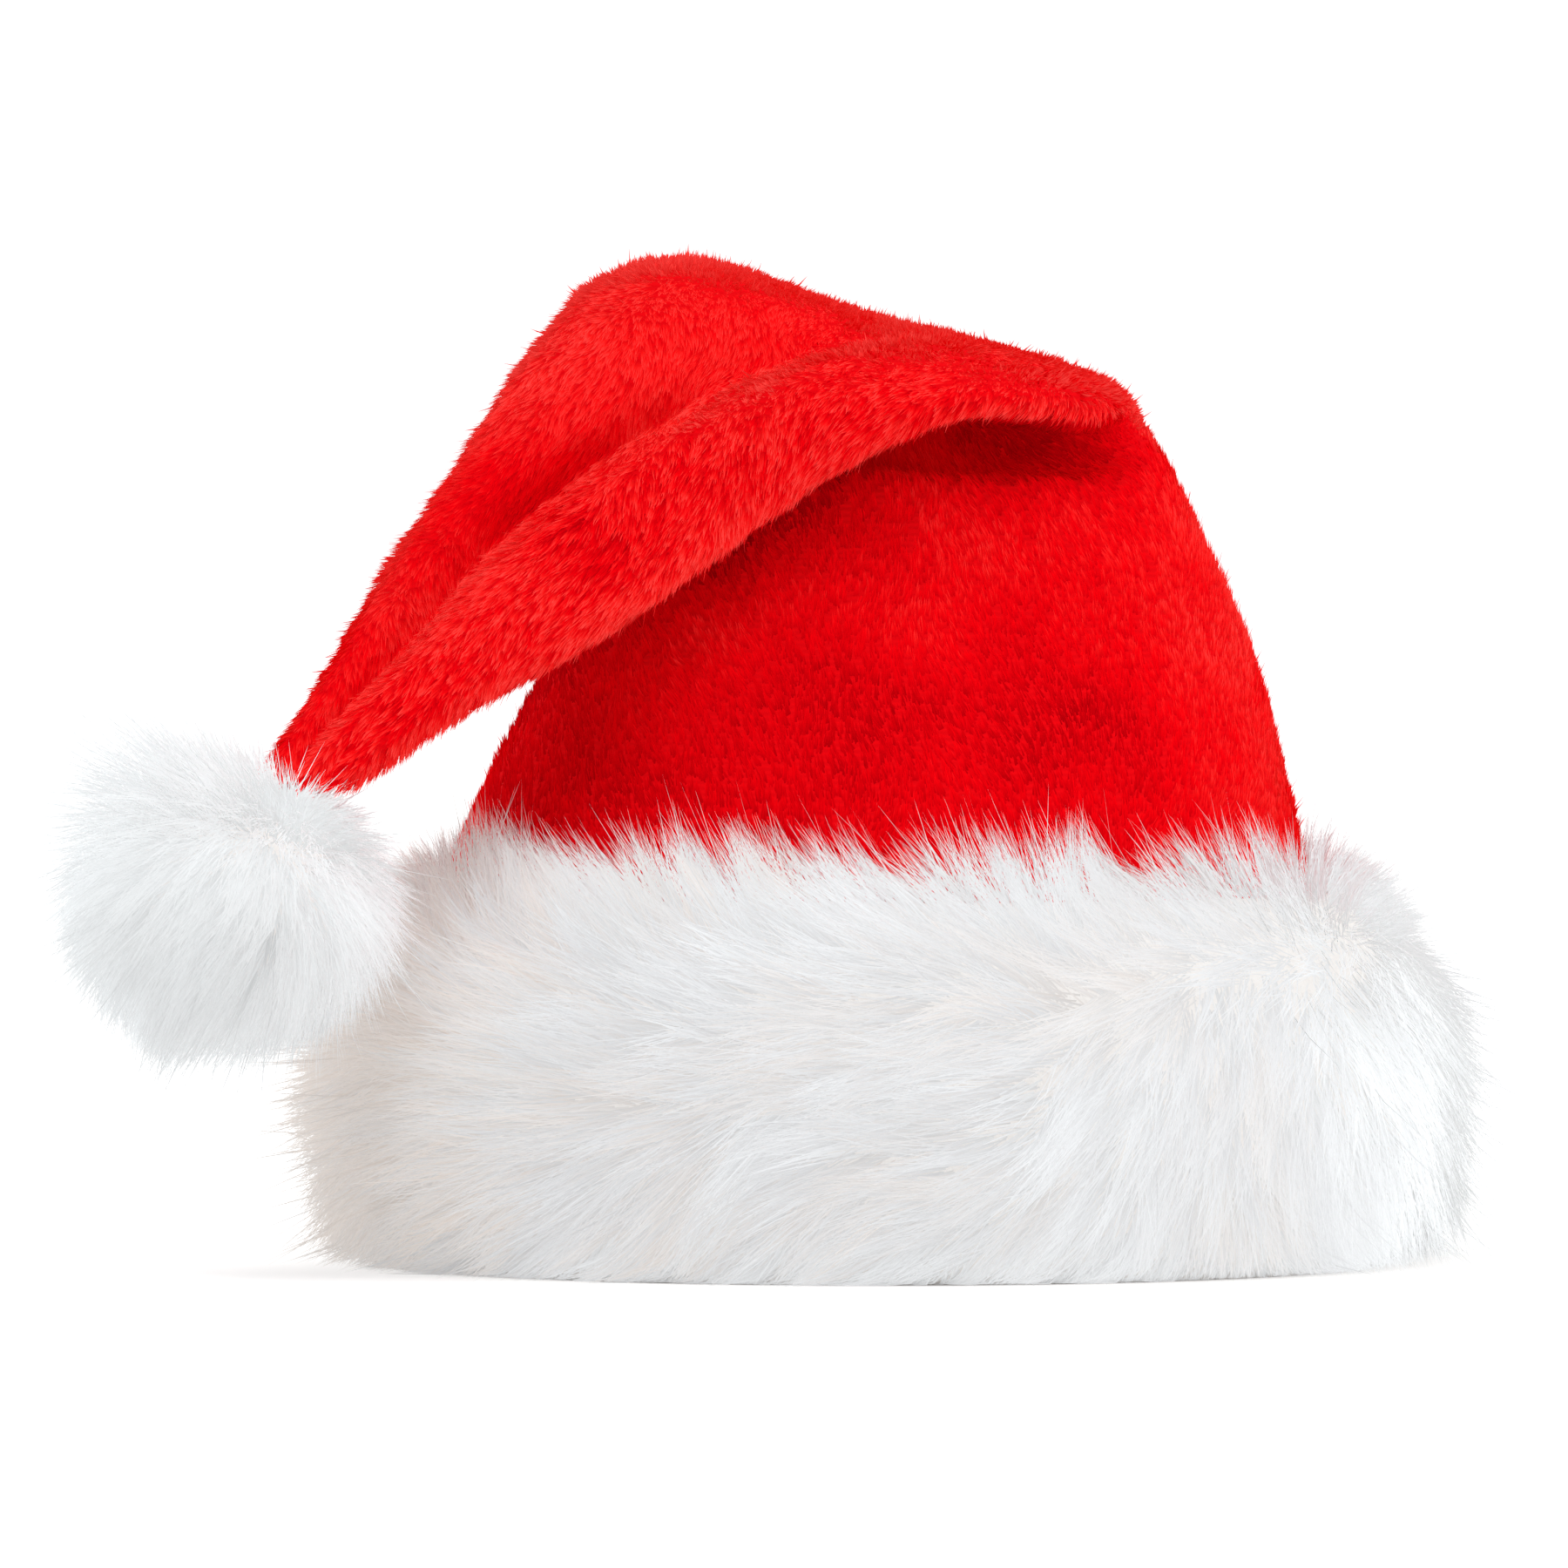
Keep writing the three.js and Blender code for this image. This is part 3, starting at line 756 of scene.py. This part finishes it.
latitude = np.linspace(-1, 1, POMPOM_RINGS + 2)[1:-1] * math.pi / 2
longitude = np.linspace(0, 2 * math.pi, POMPOM_POINTS, endpoint=False)
level = np.cos(latitude)[:, None]
ball = np.stack([
    level * np.cos(longitude),
    level * np.sin(longitude),
    np.broadcast_to(np.sin(latitude)[:, None], (POMPOM_RINGS, POMPOM_POINTS)),
], -1) * POMPOM_CORE + POMPOM_CENTER
ends = POMPOM_CENTER + np.array([[0, 0, -POMPOM_CORE[2]], [0, 0, POMPOM_CORE[2]]])
points = np.vstack([ball.reshape(-1, 3), ends])
pompom_core = mesh_piece(
    "pompom_core", points,
    [
        ring_faces(POMPOM_RINGS, POMPOM_POINTS),
        fan_faces(0, POMPOM_POINTS, len(points) - 2, flip=True),
        fan_faces((POMPOM_RINGS - 1) * POMPOM_POINTS, POMPOM_POINTS, len(points) - 1, flip=False),
    ],
    underfur,
)
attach(pompom_core, "root")
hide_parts("pompom")

# Acrylic pompom hair: the same fibre, fluffed up so that light comes through to its roots, which makes it
# an even, cool white from root to tip; its grey kind is painted shade for the front
pompom_hair = hair_material(
    "white_acrylic_pompom_hair",
    kinds=(("#C2C4C5", "#C6C8C9", "#CCCECF"), ("#DEE2E4", "#E2E6E8", "#EAEEF0")),
    roughness=0.5, gloss=0.2, sheen=0.1, sheen_colour="#FFFFFF",
)
draw = np.random.default_rng(31)
to_whorl = np.clip(unit((ball[:-1] - POMPOM_CENTER) / POMPOM_CORE) @ WHORL, 0, 1)
place, normal, *_ = scatter(ball, 1 + WHORL_DENSER * to_whorl**WHORL_FOCUS, POMPOM_TUFTS, draw)
from_middle = unit((place - POMPOM_CENTER) / POMPOM_CORE)
near_whorl = np.clip(from_middle @ WHORL, 0, 1) ** WHORL_FOCUS
wisps = np.clip(from_middle @ WISPS_AT, 0, 1) ** WISPS_FOCUS
stand = WHORL_STANDS * near_whorl + WISPS_STAND * wisps
fall = unit(from_middle * (from_middle @ WHORL)[:, None] - WHORL + NOT_ZERO)
fall = unit(fall - normal * (fall * normal).sum(-1, keepdims=True))
fall = unit(fall + np.cross(normal, fall) * ripples(place, POMPOM_SWIRLS, seed=80)[:, None])
leaving = turned(fall, normal, POMPOM_LEAVES_AT + stand)
ending = unit(turned(fall, normal, POMPOM_ENDS_AT + stand) - UPWARD * POMPOM_DROOP)
# The tone paints shade in front and light at the sides and behind
pompom_fur = hair_mesh(
    "pompom_fur", place, normal, leaving, ending,
    POMPOM_HAIR * (1 + WISPS_LONGER * wisps - WHORL_SHORTER * near_whorl), pompom_hair, draw,
    tuft=POMPOM_TUFT, spread=POMPOM_SPREAD, clump=POMPOM_CLUMP, stray=POMPOM_STRAY, loose=POMPOM_LOOSE,
    half_width=FUR_HALF_WIDTH, points=FUR_POINTS, contrast=POMPOM_CONTRAST, unevenness=FUR_UNEVENNESS,
    tone=POMPOM_TONE + from_middle @ POMPOM_LIGHT_LEAN + ripples(place, POMPOM_CLOUDS, seed=81),
)
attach(pompom_fur, "root")


# Floor: a wide pale studio floor that the hat stands on, of painted board. It is matt and almost as white
# as the room, with a grain so faint that only the hat's soft shadow shows on it.
FLOOR_HALF_SIDE = 8000
FLOOR_PALE = "#FBFBFB"
FLOOR_WORN = "#F8F8F8"
FLOOR_GRAIN = 40
painted, tree = new_material("pale_painted_board")
position = add_node(tree, "ShaderNodeTexCoord")
grain = add_node(
    tree, "ShaderNodeTexNoise",
    {"Vector": position.outputs["Object"], "Scale": 1 / (FLOOR_GRAIN * MM), "Detail": 2.0},
)
tint = add_node(
    tree, "ShaderNodeMix",
    {"Factor": grain.outputs["Fac"], "A": linear(FLOOR_PALE), "B": linear(FLOOR_WORN)},
    data_type="RGBA",
)
paint = add_node(
    tree, "ShaderNodeBsdfPrincipled",
    {"Base Color": tint.outputs["Result"], "Roughness": 0.8, "Specular IOR Level": 0.1},
)
add_node(tree, "ShaderNodeOutputMaterial", {"Surface": paint.outputs["BSDF"]})
corners = np.array([[-1, -1, 0], [1, -1, 0], [1, 1, 0], [-1, 1, 0]], float) * FLOOR_HALF_SIDE
floor = mesh_piece("floor", corners, [np.array([[0, 1, 2, 3]])], painted)


# Studio light: a white room all round, brighter where its back wall shows, with one wide soft lamp high in
# front to the left and one low on the right
ROOM_WHITE = "#FFFFFF"
ROOM_LIGHT = 0.8
WALL_LIGHT = 1.1
LAMPS = (
    # name, towards the lamp, strength
    ("key_softbox", (-0.3, -0.35, 0.89), 1.5),
    ("side_softbox", (0.96, -0.12, 0.25), 1.5),
)
LAMP_SPREAD = 50
room = bpy.data.worlds.new("white_room")
room.use_nodes = True
room.node_tree.nodes.clear()
sight = add_node(room.node_tree, "ShaderNodeLightPath")
brightness = add_node(
    room.node_tree, "ShaderNodeMath",
    {0: sight.outputs["Is Camera Ray"], 1: WALL_LIGHT - ROOM_LIGHT, 2: ROOM_LIGHT},
    operation="MULTIPLY_ADD",
)
glow = add_node(
    room.node_tree, "ShaderNodeBackground",
    {"Color": linear(ROOM_WHITE), "Strength": brightness.outputs["Value"]},
)
add_node(room.node_tree, "ShaderNodeOutputWorld", {"Surface": glow.outputs["Background"]})
bpy.context.scene.world = room
for name, towards, strength in LAMPS:
    softbox = bpy.data.lights.new(name, "SUN")
    softbox.angle = math.radians(LAMP_SPREAD)
    softbox.energy = strength
    lamp = bpy.data.objects.new(name, softbox)
    lamp.location = towards
    lamp.rotation_euler = (-Vector(towards)).to_track_quat("-Z", "Y").to_euler()
    bpy.context.scene.collection.objects.link(lamp)
bpy.context.scene.view_settings.view_transform = "Standard"


# Camera: a long lens in front of the hat, 4 m away and a little above it. Its frame is as wide as the
# photo's 1800 pixels are at 0.2 mm each.
PHOTO_PIXELS = 1800
PIXEL_SIZE = 0.2
CAMERA_AIM = Vector((-23, 0, 110)) * MM
CAMERA_DISTANCE = 4.0
CAMERA_ELEVATION = 1.5
CAMERA_REACH = 100
lens = bpy.data.cameras.new("camera")
lens.lens = lens.sensor_width * CAMERA_DISTANCE / (PHOTO_PIXELS * PIXEL_SIZE * MM)
lens.clip_end = CAMERA_REACH
camera = bpy.data.objects.new("camera", lens)
rise = math.radians(CAMERA_ELEVATION)
to_camera = Vector((0, -math.cos(rise), math.sin(rise)))
camera.location = CAMERA_AIM + to_camera * CAMERA_DISTANCE
camera.rotation_euler = (-to_camera).to_track_quat("-Z", "Y").to_euler()
bpy.context.scene.collection.objects.link(camera)
bpy.context.scene.camera = camera
